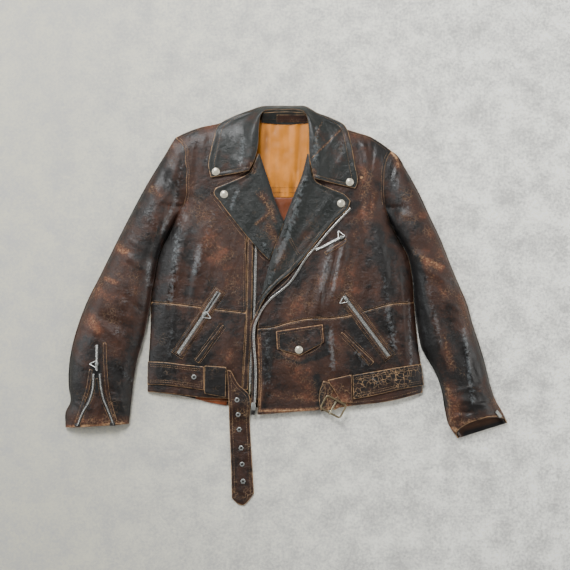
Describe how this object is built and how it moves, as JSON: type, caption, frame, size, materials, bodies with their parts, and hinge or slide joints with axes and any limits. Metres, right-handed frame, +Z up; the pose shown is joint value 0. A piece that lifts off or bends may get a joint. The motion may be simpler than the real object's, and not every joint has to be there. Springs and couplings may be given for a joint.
{
  "type": "worn leather motorcycle jacket laid flat",
  "caption": "Worn brown leather motorcycle jacket laid flat on its back, open at the neck, with a hanging belt and slanting zips.",
  "frame": {"origin": "on the floor, on the flat underside of the back panel, a little above the middle of its length", "axes": "+X towards the viewer's right as the jacket lies, +Y towards the collar, +Z up off the floor"},
  "size_m": [0.9221, 0.8385, 0.0451],
  "materials": {
    "brown_leather": "worn gloss",
    "dark_leather": "worn gloss",
    "belt_leather": "cracked",
    "satin_lining": "satin",
    "rust_lining": "satin",
    "zip_metal": "worn",
    "snap_caps": "worn gloss",
    "eyelet_metal": "tarnished"
  },
  "bodies": {
    "jacket": {"back_panel": "brown_leather", "belt_left": "belt_leather", "belt_loop_left": "belt_leather", "belt_loop_right": "belt_leather", "belt_right": "belt_leather", "belt_tail": "belt_leather", "buckle_frame": "zip_metal", "chest_pocket_slider": "zip_metal", "chest_pocket_welt": "brown_leather", "chest_pocket_zip": "zip_metal", "collar": "dark_leather", "cuff_gusset": "rust_lining", "cuff_lining_right": "satin_lining", "cuff_slider": "zip_metal", "cuff_zip": "zip_metal", "cuff_zip_end_right": "zip_metal", "cuff_zip_left": "zip_metal", "cuff_zip_right": "zip_metal", "dart_left": "brown_leather", "dart_right": "brown_leather", "eyelet_belt": "eyelet_metal", "eyelet_tail_1": "eyelet_metal", "eyelet_tail_2": "eyelet_metal", "eyelet_tail_3": "eyelet_metal", "eyelet_tail_4": "eyelet_metal", "eyelet_tail_5": "eyelet_metal", "eyelet_tail_6": "eyelet_metal", "front_left_lower": "brown_leather", "front_left_upper": "brown_leather", "front_right_lower": "brown_leather", "front_right_upper": "brown_leather", "lapel_left": "dark_leather", "lapel_right": "dark_leather", "lining_back": "rust_lining", "lining_yoke": "satin_lining", "neck_band": "dark_leather", "placket": "brown_leather", "pocket_flap": "brown_leather", "pocket_left_slider": "zip_metal", "pocket_left_welt": "brown_leather", "pocket_left_zip": "zip_metal", "pocket_right_slider": "zip_metal", "pocket_right_welt": "brown_leather", "pocket_right_zip": "zip_metal", "sleeve_left": "brown_leather", "sleeve_right": "brown_leather", "snap_collar_left": "snap_caps", "snap_collar_right": "snap_caps", "snap_flap": "snap_caps", "snap_lapel_left": "snap_caps", "snap_lapel_right": "snap_caps", "underlap": "brown_leather", "zip_left": "zip_metal", "zip_right": "zip_metal", "zip_slider": "zip_metal"},
    "pocket_left_pull": {"pocket_left_pull": "zip_metal"},
    "pocket_right_pull": {"pocket_right_pull": "zip_metal"},
    "chest_pocket_pull": {"chest_pocket_pull": "zip_metal"},
    "cuff_pull": {"cuff_pull": "zip_metal"},
    "buckle_prong": {"buckle_prong": "zip_metal"}
  },
  "joints": [
    {"name": "pocket_left_pull_swing", "type": "hinge", "parent": "jacket", "child": "pocket_left_pull", "pos_m": [-0.168, -0.061, 0.02587], "axis": [-0.5519, -0.8339, 0], "range_deg": [0, 175]},
    {"name": "pocket_right_pull_swing", "type": "hinge", "parent": "jacket", "child": "pocket_right_pull", "pos_m": [0.127, -0.029, 0.02591], "axis": [-0.5962, 0.8028, 0], "range_deg": [0, 175]},
    {"name": "chest_pocket_pull_swing", "type": "hinge", "parent": "jacket", "child": "chest_pocket_pull", "pos_m": [0.118, 0.099, 0.0274], "axis": [0.891, 0.454, 0], "range_deg": [0, 175]},
    {"name": "cuff_pull_swing", "type": "hinge", "parent": "jacket", "child": "cuff_pull", "pos_m": [-0.39, -0.164, 0.04164], "axis": [0, 1, 0], "range_deg": [0, 175]},
    {"name": "buckle_prong_swing", "type": "hinge", "parent": "jacket", "child": "buckle_prong", "pos_m": [0.09396, -0.26724, 0.01703], "axis": [0.8829, -0.4695, 0], "range_deg": [0, 150]}
  ]
}
